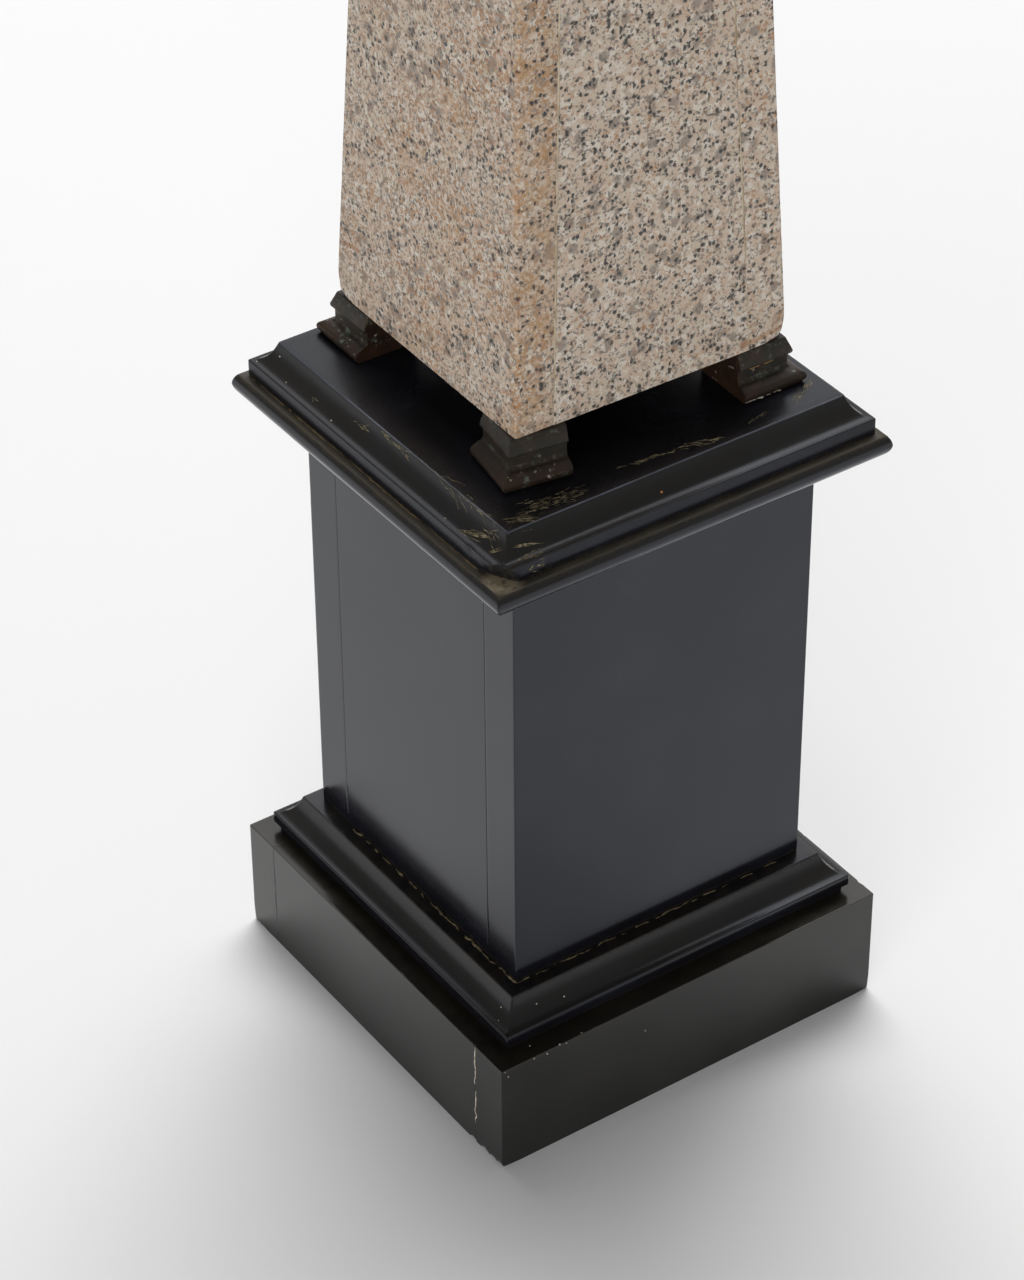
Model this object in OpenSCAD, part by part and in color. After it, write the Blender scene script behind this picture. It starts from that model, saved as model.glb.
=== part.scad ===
// Ornamental obelisk: a hollow granite shaft of four slabs on bronze feet,
// standing on a hollow black marble pedestal with moulded slabs.
// Millimetres, +Z up, origin at the middle of the underside. The front is -Y.

/* [Base] */
// Width of the square base
base_w = 240; // [220:1:300]
// Height of the base
base_h = 67; // [40:1:100]
// Thickness of the base slabs
base_slab = 24; // [16:1:30]

/* [Base moulding] */
// Width of the moulding at its fillet
moulding_w = 221; // [212:1:228]
// Width of the moulding at its top
moulding_top_w = 197; // [190:1:204]
// Thickness of the moulding slab
moulding_h = 24; // [20:0.5:30]
// Height of the fillet under the hollow of the moulding
moulding_fillet = 11; // [6:0.5:14]
// Height of the bed under the fillet, which is set back
moulding_bed = 4.5; // [2:0.5:5]
// How far the bed is set back
moulding_bed_in = 2.5; // [1:0.5:4]

/* [Die] */
// Width of the die between the two mouldings
die_w = 181; // [150:1:188]
// Height of the die
die_h = 256; // [160:1:360]
// Thickness of the die slabs
die_slab = 25; // [16:1:30]

/* [Cornice] */
// Width of the lower cornice slab over its nose
nosing_w = 235; // [228:1:240]
// Thickness of the lower cornice slab
nosing_h = 13; // [11.5:0.5:16]
// Radius of the upper round of the nose
nose_top_r = 4; // [1:0.5:4]
// Radius of the lower round of the nose
nose_low_r = 7; // [4:0.5:7]
// Width of the upper cornice slab at its fillet
cornice_w = 222; // [214:1:226]
// Width of the upper cornice slab at its top
cornice_top_w = 199; // [194:1:206]
// Thickness of the upper cornice slab
cornice_h = 21.5; // [18:0.5:28]
// Height of the fillet under the hollow of the upper cornice slab
cornice_fillet = 8.5; // [5:0.5:11]
// Radius of the hollow in both moulded slabs
hollow_r = 14; // [13.5:0.5:24]

/* [Broken corner] */
// Length broken off the upper cornice slab along its left side
broken_left = 18; // [8:1:24]
// Length broken off the upper cornice slab along its front side
broken_front = 10; // [6:1:20]
// Lean of the broken face, in degrees: below zero its foot lies further in than its top
broken_lean = -24; // [-30:1:30]

/* [Feet] */
// Width of a foot over its bottom plate
foot_w = 37; // [32:0.5:44]
// Height of a foot
foot_h = 24.5; // [23:0.5:30]
// How far the front left foot is turned on its spot, in degrees
crooked_turn = -8; // [-10:1:10]

/* [Shaft] */
// Width of the shaft at its foot
shaft_w = 158; // [140:1:170]
// Width of the shaft under the capstone
shaft_top_w = 94; // [70:1:120]
// Height of the shaft without the capstone
shaft_h = 700; // [400:5:900]
// Thickness of the shaft slabs
shaft_slab = 22; // [14:1:28]
// Height of the pyramid on top
capstone_h = 90; // [50:1:140]
// How far the shaft stands to the right of the pedestal's middle
shaft_shift_x = 6.5; // [-8:0.5:8]
// How far the shaft stands behind the pedestal's middle
shaft_shift_y = 8.5; // [-8:0.5:8.5]
// How far the shaft is turned on the pedestal, in degrees
shaft_turn = -1; // [-2:0.25:2]

/* [Hidden] */
$fn = 96;

// Heights of the joints, from the ground up
moulding_z = base_h;
die_z = moulding_z + moulding_h;
nosing_z = die_z + die_h;
cornice_z = nosing_z + nosing_h;
foot_z = cornice_z + cornice_h;
shaft_z = foot_z + foot_h;

// Foot profile, measured in from the nose of its bottom plate and up
plate_h = 7.5;
plate_nose_r = 3;
plate_nose_z = 3.2;
plate_set_in = 1.4;
foot_hollow_r = 2.4;
neck_in = 7;
rim_in = 5.3;
rim_z = 15.5;
rim_h = 1.9;
rim_edge = 0.7;
abacus_in = 8;

// Shaft and capstone half widths
shaft_b = shaft_w / 2;
shaft_t = shaft_top_w / 2;
foot_reach = shaft_b + abacus_in;

// Longer than any run of moulding, which its cross run then trims
long_run = 2 * base_w;

marble = "#2c2d30";
granite = "#cbb8a6";
bronze = "#51483c";

// A flat outline drawn in X and Z, run along Y
module run_y() {
    rotate([90, 0, 0]) linear_extrude(long_run, center = true) children();
}

// The same outline turned to Y and Z, run along X
module run_x() {
    rotate([90, 0, 90]) linear_extrude(long_run, center = true) children();
}

// Front slab of a square box of slabs: it runs the full width
module full_slab(w, thick, h, z) {
    translate([-w / 2, -w / 2, z]) cube([w, thick, h]);
}

// Left slab of the same box: it fits between the front and back slabs
module inner_slab(w, thick, h, z) {
    translate([-w / 2, thick - w / 2, z]) cube([thick, w - 2 * thick, h]);
}

// Edge outline of a slab with an upright fillet and a hollow above it
module hollow_profile(w, top_w, h, fillet) {
    run = (w - top_w) / 2;
    drop = h - fillet;
    chord = norm([run, drop]);
    bow = sqrt(hollow_r * hollow_r - chord * chord / 4);
    centre = [(w + top_w) / 4 + bow * drop / chord, (h + fillet) / 2 + bow * run / chord];
    difference() {
        polygon([
            [-w / 2, 0], [w / 2, 0], [w / 2, fillet],
            [top_w / 2, h], [-top_w / 2, h], [-w / 2, fillet]
        ]);
        for (side = [-1, 1]) translate([side * centre.x, centre.y]) circle(hollow_r);
    }
}

// Edge outline of a slab with a nose that is rounded a little above and more below
module nose_profile(w, h) {
    low_w = w - 2 * nose_low_r;
    top_w = w - 2 * nose_top_r;
    translate([-low_w / 2, 0]) square([low_w, h]);
    translate([-top_w / 2, nose_low_r]) square([top_w, h - nose_low_r]);
    translate([-w / 2, nose_low_r]) square([w, h - nose_low_r - nose_top_r]);
    for (side = [-1, 1]) {
        translate([side * low_w / 2, nose_low_r]) circle(nose_low_r);
        translate([side * top_w / 2, h - nose_top_r]) circle(nose_top_r);
    }
}

// A square slab with the same edge outline on its four sides, mitred at the corners
module moulded_slab(z) {
    translate([0, 0, z]) intersection() {
        run_y() children();
        run_x() children();
    }
}

// What broke off the front left corner of the upper cornice slab
module broken_piece() {
    size = 3 * max(broken_left, broken_front);
    middle = [(broken_front - cornice_w) / 2, (broken_left - cornice_w) / 2, cornice_z];
    facing = atan2(broken_front, broken_left);
    translate(middle) rotate([0, 0, facing]) rotate([0, broken_lean, 0])
        translate([-size, -size / 2, -size / 2]) cube(size);
}

// Outline of one moulded side of a foot, from the nose of its plate inwards
module foot_profile() {
    hollow_in = neck_in - foot_hollow_r;
    hollow_top = plate_h + foot_hollow_r;
    rise = [hollow_in - plate_nose_r, plate_h - plate_nose_z];
    meeting = atan2(rise.y, rise.x) + acos(plate_nose_r / norm(rise));
    inside_r = 0.995 * plate_nose_r;
    difference() {
        union() {
            polygon([
                [plate_set_in, 0], [plate_set_in, plate_nose_z],
                [plate_nose_r + inside_r * cos(meeting), plate_nose_z + inside_r * sin(meeting)],
                [hollow_in, plate_h], [neck_in, hollow_top], [neck_in, rim_z],
                [rim_in + rim_edge, rim_z], [rim_in, rim_z + rim_edge], [rim_in, rim_z + rim_h],
                [abacus_in, foot_h], [foot_w, foot_h], [foot_w, 0]
            ]);
            translate([plate_nose_r, plate_nose_z]) circle(plate_nose_r);
        }
        intersection() {
            translate([hollow_in, hollow_top]) circle(foot_hollow_r);
            translate([hollow_in, plate_h]) square(foot_hollow_r);
        }
    }
}

// Everything above the pedestal stands a little off its middle and a little turned
module on_pedestal(z) {
    translate([shaft_shift_x, shaft_shift_y, z]) rotate([0, 0, shaft_turn]) children();
}

// What is planed off one side of a block to leave that outline
module foot_waste() {
    difference() {
        translate([-foot_w, -foot_h]) square([foot_w + max(neck_in, abacus_in), 3 * foot_h]);
        foot_profile();
    }
}

// A foot at the corner named by the two signs: moulded outside, sawn flat inside
module foot(side_x, side_y, turn = 0) {
    middle = foot_w / 2 - foot_reach;
    on_pedestal(foot_z)
        mirror([side_x > 0 ? 1 : 0, 0, 0]) mirror([0, side_y > 0 ? 1 : 0, 0])
            translate([middle, middle, 0]) rotate([0, 0, turn])
            translate([-foot_w / 2, -foot_w / 2, 0]) difference() {
                cube([foot_w, foot_w, foot_h]);
                run_y() foot_waste();
                run_x() foot_waste();
            }
}

// Tapered face of the shaft, narrower on each side by the given margin
module shaft_face(margin) {
    polygon([
        [margin - shaft_b, 0], [shaft_b - margin, 0],
        [shaft_t - margin, shaft_h], [margin - shaft_t, shaft_h]
    ]);
}

// Leaning section of one shaft slab
module shaft_section() {
    polygon([
        [-shaft_b, 0], [shaft_slab - shaft_b, 0],
        [shaft_slab - shaft_t, shaft_h], [-shaft_t, shaft_h]
    ]);
}

// Left slab of the shaft: its edges show on the front and the back
module shaft_outer_slab() {
    intersection() {
        run_y() shaft_section();
        run_x() shaft_face(0);
    }
}

// Front slab of the shaft: it fits between the left and right slabs
module shaft_inner_slab() {
    intersection() {
        run_x() shaft_section();
        run_y() shaft_face(shaft_slab);
    }
}

module base_front_slab() {
    color(marble) full_slab(base_w, base_slab, base_h, 0);
}

module base_back_slab() {
    color(marble) mirror([0, 1, 0]) full_slab(base_w, base_slab, base_h, 0);
}

module base_left_slab() {
    color(marble) inner_slab(base_w, base_slab, base_h, 0);
}

module base_right_slab() {
    color(marble) mirror([1, 0, 0]) inner_slab(base_w, base_slab, base_h, 0);
}

module base_moulding() {
    color(marble) moulded_slab(moulding_z) difference() {
        hollow_profile(moulding_w, moulding_top_w, moulding_h, moulding_fillet);
        for (side = [-1, 1]) translate([side * moulding_w / 2, 0])
            square(2 * [moulding_bed_in, moulding_bed], center = true);
    }
}

module die_front_slab() {
    color(marble) full_slab(die_w, die_slab, die_h, die_z);
}

module die_back_slab() {
    color(marble) mirror([0, 1, 0]) full_slab(die_w, die_slab, die_h, die_z);
}

module die_left_slab() {
    color(marble) inner_slab(die_w, die_slab, die_h, die_z);
}

module die_right_slab() {
    color(marble) mirror([1, 0, 0]) inner_slab(die_w, die_slab, die_h, die_z);
}

module cornice_nosing() {
    color(marble) moulded_slab(nosing_z) nose_profile(nosing_w, nosing_h);
}

module cornice_moulding() {
    color(marble) difference() {
        moulded_slab(cornice_z) hollow_profile(cornice_w, cornice_top_w, cornice_h, cornice_fillet);
        broken_piece();
    }
}

module front_left_foot() {
    color(bronze) foot(-1, -1, crooked_turn);
}

module front_right_foot() {
    color(bronze) foot(1, -1);
}

module back_left_foot() {
    color(bronze) foot(-1, 1);
}

module back_right_foot() {
    color(bronze) foot(1, 1);
}

module shaft_left_slab() {
    color(granite) on_pedestal(shaft_z) shaft_outer_slab();
}

module shaft_right_slab() {
    color(granite) on_pedestal(shaft_z) mirror([1, 0, 0]) shaft_outer_slab();
}

module shaft_front_slab() {
    color(granite) on_pedestal(shaft_z) shaft_inner_slab();
}

module shaft_back_slab() {
    color(granite) on_pedestal(shaft_z) mirror([0, 1, 0]) shaft_inner_slab();
}

// Pyramid that closes the hollow shaft
module capstone() {
    color(granite) on_pedestal(shaft_z + shaft_h) intersection() {
        run_y() polygon([[-shaft_t, 0], [shaft_t, 0], [0, capstone_h]]);
        run_x() polygon([[-shaft_t, 0], [shaft_t, 0], [0, capstone_h]]);
    }
}

base_front_slab();
base_back_slab();
base_left_slab();
base_right_slab();
base_moulding();
die_front_slab();
die_back_slab();
die_left_slab();
die_right_slab();
cornice_nosing();
cornice_moulding();
front_left_foot();
front_right_foot();
back_left_foot();
back_right_foot();
shaft_left_slab();
shaft_right_slab();
shaft_front_slab();
shaft_back_slab();
capstone();
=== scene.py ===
# %% [markdown]
# # An ornamental obelisk: granite, bronze and black marble
# This lesson dresses a CAD model of a small obelisk for rendering. The CAD pieces have perfect edges;
# real stone does not, so each piece is built again here with worn arrises, chips, a broken corner, glue
# in its joints and dirt in its hollows. Lengths are in metres, and a length written in millimetres is
# multiplied by MM.

import math

import bpy
import numpy as np
from mathutils import Matrix, Quaternion, Vector, noise
from mathutils.bvhtree import BVHTree
from mathutils.geometry import interpolate_bezier


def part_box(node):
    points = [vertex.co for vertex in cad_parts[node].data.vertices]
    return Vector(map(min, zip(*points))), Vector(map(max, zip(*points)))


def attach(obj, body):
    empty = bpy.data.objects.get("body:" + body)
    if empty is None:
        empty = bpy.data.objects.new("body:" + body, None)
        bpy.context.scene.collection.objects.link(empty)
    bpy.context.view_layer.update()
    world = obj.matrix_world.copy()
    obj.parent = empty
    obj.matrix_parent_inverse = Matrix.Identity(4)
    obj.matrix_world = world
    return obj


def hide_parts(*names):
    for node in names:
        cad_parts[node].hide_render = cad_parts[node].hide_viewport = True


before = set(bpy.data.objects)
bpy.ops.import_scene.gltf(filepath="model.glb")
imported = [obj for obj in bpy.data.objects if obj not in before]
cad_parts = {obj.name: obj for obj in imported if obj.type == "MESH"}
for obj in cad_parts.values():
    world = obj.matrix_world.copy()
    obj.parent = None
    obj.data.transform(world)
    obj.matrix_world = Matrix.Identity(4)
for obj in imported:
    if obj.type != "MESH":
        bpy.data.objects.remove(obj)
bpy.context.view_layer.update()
scene = bpy.context.scene
MM = 0.001


def level(node, end):
    """Height in mm of a node's underside (0) or top (1)."""
    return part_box(node)[end].z / MM


BASE_TOP = level("base_left_slab", 1)
DIE_FOOT = level("die_left_slab", 0)
CORNICE_JOINT = level("cornice_moulding", 0)
CORNICE_TOP = level("cornice_moulding", 1)
SHAFT_FOOT = level("shaft_left_slab", 0)
print("joints at", [round(v, 1) for v in (BASE_TOP, DIE_FOOT, CORNICE_JOINT, CORNICE_TOP, SHAFT_FOOT)], "mm")

# %% [markdown]
# ## The camera
# The picture looks down on one corner of the pedestal from about head height. A long lens keeps the
# upright edges nearly parallel. The three axes of the camera are worked out from two angles and a small
# roll, which is easier to read than a list of rotation values.

# %% Camera
CAMERA_AT = Vector((-0.9828, -1.3842, 1.4973))
CAMERA_TURN = math.radians(-34.570)
CAMERA_DROP = math.radians(37.084)
CAMERA_ROLL = math.radians(-0.448)
FOCAL_LENGTH = 116.2


def camera_axes(turn, drop, roll):
    """Right, up and back of a camera that looks along the turn and down by the drop."""
    back = Vector((
        math.sin(turn) * math.cos(drop),
        -math.cos(turn) * math.cos(drop),
        math.sin(drop),
    ))
    right = Vector((math.cos(turn), math.sin(turn), 0))
    up = back.cross(right)
    rolled_right = right * math.cos(roll) + up * math.sin(roll)
    return rolled_right, back.cross(rolled_right), back


camera = bpy.data.objects.new("camera", bpy.data.cameras.new("camera"))
camera.data.lens = FOCAL_LENGTH
camera.data.sensor_width = 36
camera.data.clip_end = 50
right, up, back = camera_axes(CAMERA_TURN, CAMERA_DROP, CAMERA_ROLL)
camera.matrix_world = Matrix.Translation(CAMERA_AT) @ Matrix((right, up, back)).transposed().to_4x4()
scene.collection.objects.link(camera)
scene.camera = camera
scene.view_settings.view_transform = "Standard"
print("camera looks along", [round(-v, 3) for v in back])

# %% [markdown]
# ## One helper for all node trees
# Materials and Geometry Nodes are both trees of nodes. This class wraps one output socket. Signs such as
# + and * add Math nodes, so a mask reads like a formula, and the method node() adds any other node: its
# type, its settings, and the values or links of its inputs.

# %% A socket that does sums


class Wire:
    """An output socket in a node tree, with Python's signs for Math nodes."""

    def __init__(self, tree, socket=None):
        self.tree = tree
        self.socket = socket

    def node(self, kind, settings=None, sockets=None, out=0):
        """Add a node: settings are set first, then values or links of its inputs."""
        made = self.tree.nodes.new(kind)
        for name, value in (settings or {}).items():
            setattr(made, name, value)
        for name, value in (sockets or {}).items():
            if isinstance(value, Wire):
                self.tree.links.new(value.socket, made.inputs[name])
            else:
                made.inputs[name].default_value = value
        return Wire(self.tree, made.outputs[out])

    def other(self, out):
        """Another output of the same node."""
        return Wire(self.tree, self.socket.node.outputs[out])

    def math(self, operation, *values):
        """A Math node on this value and others."""
        sockets = dict(enumerate((self, *values)))
        return self.node("ShaderNodeMath", {"operation": operation}, sockets)

    def vector(self, operation, *values, out=0):
        """A Vector Math node on this vector and others."""
        sockets = dict(enumerate((self, *values)))
        return self.node("ShaderNodeVectorMath", {"operation": operation}, sockets, out)

    def scaled(self, factor):
        """This vector, made longer or shorter."""
        return self.node("ShaderNodeVectorMath", {"operation": "SCALE"}, {"Vector": self, "Scale": factor})

    def part(self, axis):
        """The X, Y or Z of this vector."""
        return self.node("ShaderNodeSeparateXYZ", None, {0: self}, axis)

    def ramp(self, low, high, smooth=True):
        """0 below low, 1 above high, and the other way round when low is the larger."""
        sockets = {"Value": self, "From Min": low, "From Max": high, "To Min": 0.0, "To Max": 1.0}
        if low > high:
            sockets |= {"From Min": high, "From Max": low, "To Min": 1.0, "To Max": 0.0}
        kind = "SMOOTHSTEP" if smooth else "LINEAR"
        return self.node("ShaderNodeMapRange", {"interpolation_type": kind}, sockets)

    def mix(self, colour_a, colour_b):
        """Colour A where this is 0, colour B where it is 1."""
        sockets = {0: self, 6: colour_a, 7: colour_b}
        return self.node("ShaderNodeMix", {"data_type": "RGBA"}, sockets, 2)

    def __add__(self, value):
        return self.math("ADD", value)

    def __sub__(self, value):
        return self.math("SUBTRACT", value)

    def __mul__(self, value):
        return self.math("MULTIPLY", value)

    def __truediv__(self, value):
        return self.math("DIVIDE", value)

    def __rsub__(self, value):
        return self.node("ShaderNodeMath", {"operation": "SUBTRACT"}, {0: value, 1: self})

    def __rtruediv__(self, value):
        return self.node("ShaderNodeMath", {"operation": "DIVIDE"}, {0: value, 1: self})

    __radd__ = __add__
    __rmul__ = __mul__


print("wire ready")

# %% [markdown]
# ## Colours and materials
# Colours are picked on a screen, but nodes reckon with linear light, so each one is converted. A
# new material starts from a Principled shader and from the place on the object in millimetres. Object
# coordinates are used, so that a pattern runs on from one piece to the next as it does in one block.

# %% Colours and materials


def colour(red, green, blue):
    """Screen values from 0 to 255 as the linear colour that nodes want."""
    def linear(value):
        share = value / 255
        return share / 12.92 if share <= 0.04045 else ((share + 0.055) / 1.055) ** 2.4

    return (linear(red), linear(green), linear(blue), 1.0)


def new_material(name):
    """A material with a Principled shader; returns it, its shader node and its place in mm."""
    material = bpy.data.materials.new(name)
    material.use_nodes = True
    tree = material.node_tree
    shader = tree.nodes["Principled BSDF"]
    place = Wire(tree).node("ShaderNodeTexCoord", out="Object").scaled(1 / MM)
    return material, shader, place


def plug(shader, name, value):
    """Give the shader's input a wire or a plain value."""
    if isinstance(value, Wire):
        value.tree.links.new(value.socket, shader.inputs[name])
    else:
        shader.inputs[name].default_value = value


print("material helpers ready")

# %% [markdown]
# ## Patterns
# Stone needs three patterns: soft clouds for stains and wear, cells for crystals, and the distance from a
# line for streaks. They are textures worked out from the place itself, so they need no pictures and no
# unwrapping, and a seed moves each of them on.

# %% Patterns


def clouds(place, size, detail=3.0, seed=0.0, out=0, rough=0.5):
    """Soft noise whose blobs are about size mm across; output 0 is a value, 1 a colour."""
    sockets = {"Vector": place, "W": seed, "Scale": 1 / size, "Detail": detail, "Roughness": rough}
    return place.node("ShaderNodeTexNoise", {"noise_dimensions": "4D"}, sockets, out)


def grains(place, size, seed=0.0):
    """Crystal-like cells about size mm across: the distance wire, whose outputs also hold a random colour."""
    sockets = {"Vector": place.vector("ADD", (31 * seed, 0, 0)), "Scale": 1 / size}
    return place.node("ShaderNodeTexVoronoi", {"feature": "F1"}, sockets)


def from_line(place, start, end):
    """Distance in mm from the straight line between two points."""
    run = Vector(end) - Vector(start)
    away = place.vector("SUBTRACT", tuple(start))
    share = away.vector("DOT_PRODUCT", tuple(run), out=1) * (1 / run.length_squared)
    along = {"Vector": tuple(run), "Scale": share.ramp(0.0, 1.0, False)}
    foot = place.node("ShaderNodeVectorMath", {"operation": "SCALE"}, along)
    return away.vector("DISTANCE", foot, out=1)


print("patterns ready")

# %% [markdown]
# ## Granite
# The shaft is a pale granite. Up close it is a crowd of crystals: cream and pink feldspar, smoky grey
# quartz and small black flakes of mica, with rusty stains where iron has bled. Cells of a Voronoi texture
# make good crystals once noise has made their borders ragged. Each slab was sawn from another part of the
# block, so the left slab is rustier and the front slab has more black in it. Along the front arris, as far
# as the joint, rust has stained some crystals and spared others. The stain needs the place on the tapered
# shaft, so its sizes come first.

# %% Shaft sizes and granite colours
SHAFT_AT = Vector((6.5, 8.5, SHAFT_FOOT)) * MM
SHAFT_TURN = math.radians(-1)
SHAFT_HALF = 79 * MM
SHAFT_TOP_HALF = 47 * MM
SHAFT_TALL = 700 * MM
SHAFT_LEAN = (SHAFT_HALF - SHAFT_TOP_HALF) / SHAFT_TALL

CREAM = colour(188, 175, 159)
PINK = colour(186, 166, 148)
PALE = colour(204, 196, 184)
SMOKE = colour(131, 120, 111)
GREY = colour(108, 103, 98)
MICA = colour(34, 35, 36)
RUST = colour(156, 112, 72)
STAIN = colour(166, 130, 90)
RUST_STREAKS = (
    ((-78, -72, SHAFT_FOOT + 34), (-30, -70, SHAFT_FOOT + 41)),
    ((-71, 87, SHAFT_FOOT + 30), (-70, 70, SHAFT_FOOT + 33)),
    ((86, -71, SHAFT_FOOT + 7), (58, -71, SHAFT_FOOT + 4)),
)
print("shaft narrows by", round(SHAFT_LEAN * 100, 1), "mm on each side for every 100 mm")

# %% Granite material


def granite(name, rust, mica, speckle, seed):
    """Granite with more or less rust, black mica and grey speckle; the seed moves the pattern."""
    material, shader, place = new_material(name)
    ragged = clouds(place, 1.5, 2.0, seed, 1).vector("SUBTRACT", (0.5, 0.5, 0.5)).scaled(2.6)
    spot = place.vector("ADD", ragged)
    crystal = grains(spot, 2.6, seed)
    pick = crystal.other("Color")
    ground = pick.part(0).ramp(0.25, 0.75).mix(CREAM, PINK)
    ground = (pick.part(1).ramp(0.72, 0.8) * 0.8).mix(ground, PALE)
    quartz = grains(spot, 6.5, seed + 3)
    smudge = quartz.other("Color").part(0).ramp(0.25, 0.18) * quartz.ramp(0.62, 0.3)
    ground = (smudge * 0.8).mix(ground, SMOKE)
    fine = grains(spot, 1.15, seed + 7).other("Color")
    ground = (fine.part(0).ramp(speckle, speckle * 0.6) * 0.8).mix(ground, GREY)
    rusty = clouds(place, 30, 3, seed + 5).ramp(0.4, 0.64) * 0.6 + 0.4
    drop = grains(spot, 1.6, seed + 11).other("Color").part(1).ramp(1 - 0.34 * rust, 1 - 0.26 * rust)
    ground = (drop * rusty * 0.7).mix(ground, RUST)
    veil = clouds(place, 24, 4, seed + 9).ramp(0.45, 0.75) * rust * 0.4
    centred = {"Vector": place, "Location": SHAFT_AT / MM, "Rotation": (0, 0, SHAFT_TURN)}
    local = place.node("ShaderNodeMapping", {"vector_type": "TEXTURE"}, centred)
    half = SHAFT_HALF / MM - local.part(2) * SHAFT_LEAN
    from_left, from_front = ((local.part(axis) + half).math("ABSOLUTE") for axis in (0, 1))
    some = (pick.part(2) * 0.45 + fine.part(1) * 0.55).ramp(0.36, 0.62)
    on_strip = from_front.ramp(9.0, 0.5) * from_left.ramp(25.0, 14.0)
    stained = on_strip * clouds(place, 11, 4, seed + 13).ramp(0.33, 0.6) * some
    veil = veil.math("MAXIMUM", stained * 0.8)
    ground = veil.mix(ground, STAIN)
    flake = grains(spot, 2.2, seed + 17)
    crowd_here = clouds(place, 9, 3, seed + 19) - 0.5
    chance = flake.other("Color").part(0) - crowd_here * 0.65
    black = chance.ramp(mica + 0.03, mica - 0.03) * flake.ramp(0.75, 0.3)
    ground = (black * 0.95).mix(ground, MICA)
    on_arris = from_left.math("MAXIMUM", from_front).ramp(5.0, 0.4)
    bleed = on_arris * clouds(spot, 7, 4, seed + 23).ramp(0.42, 0.66) * some * 0.6
    for start, end in RUST_STREAKS:
        bleed = bleed.math("MAXIMUM", from_line(spot, start, end).ramp(2.2, 0.6) * 0.6)
    ground = bleed.mix(ground, RUST)
    plug(shader, "Base Color", ground)
    plug(shader, "Roughness", 0.72 - black * 0.25)
    height = crystal * 0.25 + clouds(place, 1.1, 3, seed) * 0.5 + black * 0.2
    bump = height.node("ShaderNodeBump", None, {"Strength": 0.35, "Distance": 0.3 * MM, "Height": height})
    plug(shader, "Normal", bump)
    return material


granite_left = granite("rusty granite", 0.9, 0.15, 0.34, 1.0)
granite_front = granite("grey granite", 0.28, 0.22, 0.25, 31.0)
granite_side = granite("granite", 0.45, 0.16, 0.25, 57.0)
print("granite made for", SHAFT_TALL / MM, "mm of shaft")

# %% [markdown]
# ## Black marble
# The pedestal is honed black marble. Most of what one sees on it is not its own colour but a soft mirror
# image of the pale floor, so the colour is nearly black and the roughness does the work. Wiping leaves
# cloudy patches in the shine. Flat faces were polished by machine; hollows and noses were rubbed by hand
# and are duller and a little olive. The top plate of the cornice is hazy, and a pale bluish grey is painted
# on its arris as a highlight. Dust lies on the ledge of the cornice, and brown dirt has settled in the
# joints. Fresh breaks are rough and paler; the meshes mark them with an attribute named bare.

# %% Black marble colours
BLACK = colour(13, 13, 17)
GREY_CLOUD = colour(22, 23, 29)
# Warm blacks for the base: a painted warm tint standing in for the warm reflection in its faces.
WARM_REFLECTION_BLACK = colour(20, 19, 17)
WARM_REFLECTION_CLOUD = colour(31, 30, 27)
OLIVE = colour(40, 38, 33)
# A pale bluish grey and its lighter cloud, painted on the cornice's top arris as its highlight.
ARRIS_HIGHLIGHT = colour(66, 69, 76)
ARRIS_HIGHLIGHT_CLOUD = colour(104, 108, 117)
BLUISH = (0.85, 0.89, 1.0, 1.0)
NEUTRAL = (1.0, 1.0, 1.0, 1.0)
DUST = colour(80, 75, 62)
DIRT = colour(64, 56, 42)
BREAK = colour(66, 61, 52)
OLD_BED = colour(146, 134, 112)
LOST_CORNER = (-107, -106, CORNICE_JOINT)
DIRTY_JOINTS = (
    (BASE_TOP, 4.0, 0.22),
    (DIE_FOOT, 3.0, 0.3),
    (CORNICE_JOINT, 2.2, 0.5),
)
print("dirt in", len(DIRTY_JOINTS), "joints of the marble")

# %% Black marble material


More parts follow.
